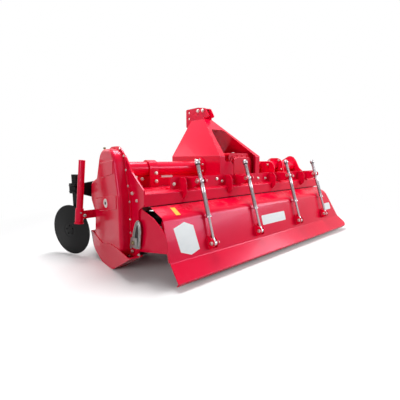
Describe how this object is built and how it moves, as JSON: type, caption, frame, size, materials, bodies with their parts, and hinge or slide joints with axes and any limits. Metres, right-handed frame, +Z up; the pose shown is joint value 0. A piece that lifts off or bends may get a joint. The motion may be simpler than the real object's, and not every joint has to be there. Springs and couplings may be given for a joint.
{
  "type": "rotavator",
  "caption": "Tractor-mounted rotavator with a side-driven rotor, hinged rear flap on four spring rods, three-point hitch, disc and parking leg.",
  "frame": {"origin": "on the floor under the middle of the whole machine's box", "axes": "+X to the right seen from behind, across the machine; +Y forward to the tractor, along the drive shaft; +Z up"},
  "size_m": [2.6024, 1.2458, 1.2358],
  "materials": {
    "red_paint": "gloss",
    "black_paint": "satin",
    "plated_steel": "bright zinc plate",
    "galvanised": "dull zinc",
    "bare_steel": "turned"
  },
  "bodies": {
    "frame": {"hood": "red_paint", "left_end_plate": "red_paint", "right_end_plate": "red_paint", "side_shields": "red_paint", "gearcase_flange": "red_paint", "gearcase_cover": "red_paint", "gearcase_guard": "red_paint", "right_skid": "red_paint", "left_skid_adjuster": "galvanised", "right_skid_adjuster": "galvanised", "left_tube": "red_paint", "right_tube": "red_paint", "tube_strap": "red_paint", "tube_gussets": "red_paint", "rear_bar": "red_paint", "hood_ribs": "red_paint", "toolbar": "red_paint", "mast_left_side": "red_paint", "mast_right_side": "red_paint", "mast_rear_tie": "red_paint", "top_link_bracket": "red_paint", "lower_hitch_plates": "red_paint", "lower_pins": "galvanised", "gearbox": "red_paint", "gearbox_cover": "red_paint", "side_drives": "red_paint", "right_bearing": "red_paint", "hinge_knuckles": "red_paint", "hinge_rod": "galvanised", "rod_lugs": "red_paint", "disc_axle": "black_paint", "disc_shank": "black_paint", "disc_clamp": "black_paint", "disc_arm": "black_paint", "stand_bracket": "red_paint"},
    "rotor": {"rotor_shaft": "red_paint", "rotor_blades": "black_paint"},
    "input_shaft": {"input_shaft": "bare_steel"},
    "flap": {"flap_panel": "red_paint", "flap_clevises": "red_paint"},
    "rod_trunnions": {"trunnions": "plated_steel", "lift_springs": "plated_steel"},
    "spring_rods": {"spring_rods": "plated_steel"},
    "disc": {"disc_coulter": "black_paint"},
    "parking_stand": {"stand_leg": "red_paint"}
  },
  "joints": [
    {"name": "rotor_turn", "type": "hinge", "parent": "frame", "child": "rotor", "pos_m": [-0.05872, 0.03325, 0.262], "axis": [-1, 0, 0], "continuous": true},
    {"name": "input_shaft_turn", "type": "hinge", "parent": "frame", "child": "input_shaft", "pos_m": [-0.05872, 0.12826, 0.685], "axis": [0, 1, 0], "continuous": true},
    {"name": "flap_lift", "type": "hinge", "parent": "frame", "child": "flap", "pos_m": [-0.05872, -0.32875, 0.474], "axis": [-1, 0, 0], "range_deg": [0, 30]},
    {"name": "trunnion_tilt", "type": "hinge", "parent": "frame", "child": "rod_trunnions", "pos_m": [-0.05872, -0.42774, 0.61], "axis": [-1, 0, 0], "range_deg": [0, 24.86]},
    {"name": "rod_slide", "type": "slide", "parent": "rod_trunnions", "child": "spring_rods", "axis": [0, 0.3177, 0.9482], "range_m": [0, 0.08028], "deforming": ["lift_springs"]},
    {"name": "disc_turn", "type": "hinge", "parent": "frame", "child": "disc", "pos_m": [-1.21472, 0.44526, 0.204], "axis": [0.9063, 0.4226, 0], "continuous": true},
    {"name": "stand_slide", "type": "slide", "parent": "frame", "child": "parking_stand", "axis": [-0.108, 0, -0.9942], "range_m": [0, 0.27]}
  ],
  "couplings": [
    {"joint": "input_shaft_turn", "follows": "rotor_turn", "ratio": 2.57},
    {"joint": "trunnion_tilt", "follows": "flap_lift", "ratio": 0.82829},
    {"joint": "rod_slide", "follows": "flap_lift", "m_per_rad": 0.15324}
  ]
}
